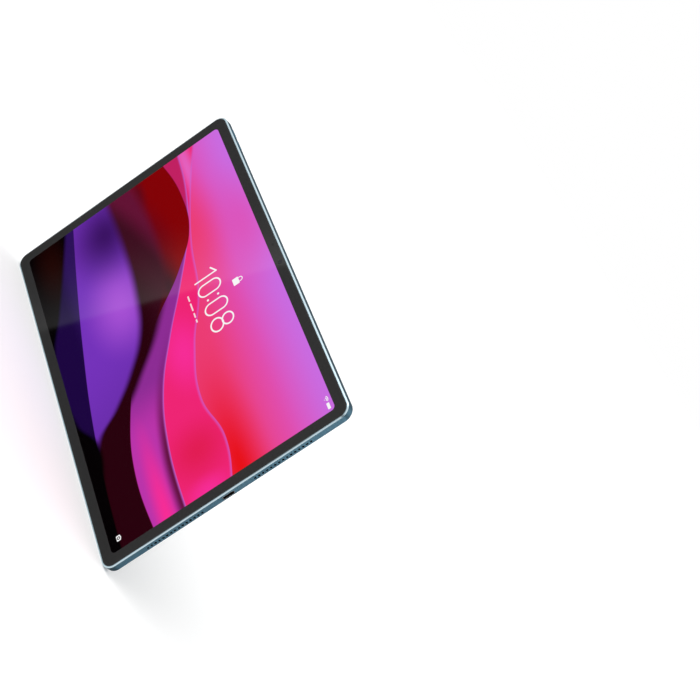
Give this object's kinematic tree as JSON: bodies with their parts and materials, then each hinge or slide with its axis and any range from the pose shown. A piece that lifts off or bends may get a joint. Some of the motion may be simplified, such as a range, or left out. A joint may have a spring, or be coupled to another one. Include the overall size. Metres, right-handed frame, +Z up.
{
  "type": "tablet computer",
  "caption": "Large flat tablet computer with a glass front, milled metal back, raised glass camera strip, side keys, sound outlets and a charging socket.",
  "frame": {"origin": "middle of the bounding box's foot, on the lower long edge that the tablet stands on", "axes": "+X along the long edge, to the right as seen by someone facing the screen; +Y from the screen to the back; +Z up, towards the long edge that carries the front camera and the volume keys"},
  "size_m": [0.2908, 0.0086, 0.1887],
  "materials": {
    "anodised_housing": "matte bead-blasted teal anodising with a bright polished rim",
    "anodised_key": "matte teal anodising",
    "battery_pouch": "laminated foil pouch",
    "black_foam": "adhesive-backed foam",
    "black_moulding": "fine textured moulding",
    "chip_resin": "moulded resin",
    "circuit_board": "solder mask",
    "coated_lens": "coated optical glass",
    "cover_glass": "glossy glass, black printed border, display lit behind it",
    "driver_metal": "plated steel",
    "dust_mesh": "woven black mesh",
    "flash_diffuser": "frosted diffuser",
    "flash_white": "lamp chip on its board",
    "flex_cable": "polyimide film",
    "gold_contact": "gold plated",
    "graphite_sheet": "graphite film",
    "lens_window": "coated clear glass",
    "light_guide": "acrylic light guide with white backing",
    "magnet": "nickel plated",
    "panel_glass": "dark laminated panel",
    "polished_ring": "polished",
    "shield_can": "tinned sheet",
    "socket_steel": "stainless",
    "stamped_plate": "stamped sheet",
    "steel_screw": "zinc plated",
    "strip_glass": "glossy back-painted teal glass with a polished edge",
    "switch_metal": "plated",
    "white_moulding": "moulded nylon"
  },
  "bodies": {
    "tablet": {"antenna_modules": "black_moulding", "backlight_unit": "light_guide", "battery_board": "circuit_board", "battery_cell_left": "battery_pouch", "battery_cell_right": "battery_pouch", "battery_tapes": "black_foam", "board_chips": "chip_resin", "board_link_flex": "flex_cable", "board_screws": "steel_screw", "board_shields": "shield_can", "camera_flexes": "flex_cable", "camera_trim_rings": "polished_ring", "contact_block": "black_moulding", "contact_pins": "gold_contact", "cover_glass": "cover_glass", "display_flex": "flex_cable", "display_panel": "panel_glass", "display_support_plate": "stamped_plate", "edge_magnets": "magnet", "flash_module": "flash_white", "flash_window": "flash_diffuser", "front_camera_module": "black_moulding", "glass_seal": "black_foam", "heat_spreader": "graphite_sheet", "key_flex": "flex_cable", "light_sensor": "black_moulding", "macro_camera_lens": "coated_lens", "macro_camera_module": "black_moulding", "macro_camera_window": "lens_window", "main_board": "circuit_board", "main_camera_actuator": "black_moulding", "main_camera_sensor": "circuit_board", "main_camera_window": "lens_window", "microphones": "shield_can", "power_key_bracket": "stamped_plate", "power_switch": "switch_metal", "rear_glass_strip": "strip_glass", "rear_housing": "anodised_housing", "speaker_box_left_lower": "black_moulding", "speaker_box_left_upper": "black_moulding", "speaker_box_right_lower": "black_moulding", "speaker_box_right_upper": "black_moulding", "speaker_drivers": "driver_metal", "speaker_meshes": "dust_mesh", "speaker_screws": "steel_screw", "strip_tape": "black_foam", "support_plate_screws": "steel_screw", "usb_board": "circuit_board", "usb_shell": "socket_steel", "usb_tongue": "black_moulding", "volume_switch_board": "circuit_board", "volume_switches": "switch_metal"},
    "power_key": {"power_key": "anodised_key", "power_switch_plunger": "white_moulding"},
    "volume_up_key": {"volume_up_key": "anodised_key", "volume_up_switch_plunger": "white_moulding"},
    "volume_down_key": {"volume_down_key": "anodised_key", "volume_down_switch_plunger": "white_moulding"},
    "focus_barrel": {"main_camera_barrel": "black_moulding", "main_camera_lens": "coated_lens"}
  },
  "joints": [
    {"name": "power_key_press", "type": "slide", "parent": "tablet", "child": "power_key", "axis": [1, 0, 0], "range_m": [0, 0.00025], "stiffness_N_per_m": 1500, "springref_m": -0.0003},
    {"name": "volume_up_press", "type": "slide", "parent": "tablet", "child": "volume_up_key", "axis": [0, 0, -1], "range_m": [0, 0.00025], "stiffness_N_per_m": 1500, "springref_m": -0.0003},
    {"name": "volume_down_press", "type": "slide", "parent": "tablet", "child": "volume_down_key", "axis": [0, 0, -1], "range_m": [0, 0.00025], "stiffness_N_per_m": 1500, "springref_m": -0.0003},
    {"name": "main_camera_focus", "type": "slide", "parent": "tablet", "child": "focus_barrel", "axis": [0, 1, 0], "range_m": [0, 0.0003], "stiffness_N_per_m": 60, "springref_m": -0.0002}
  ]
}
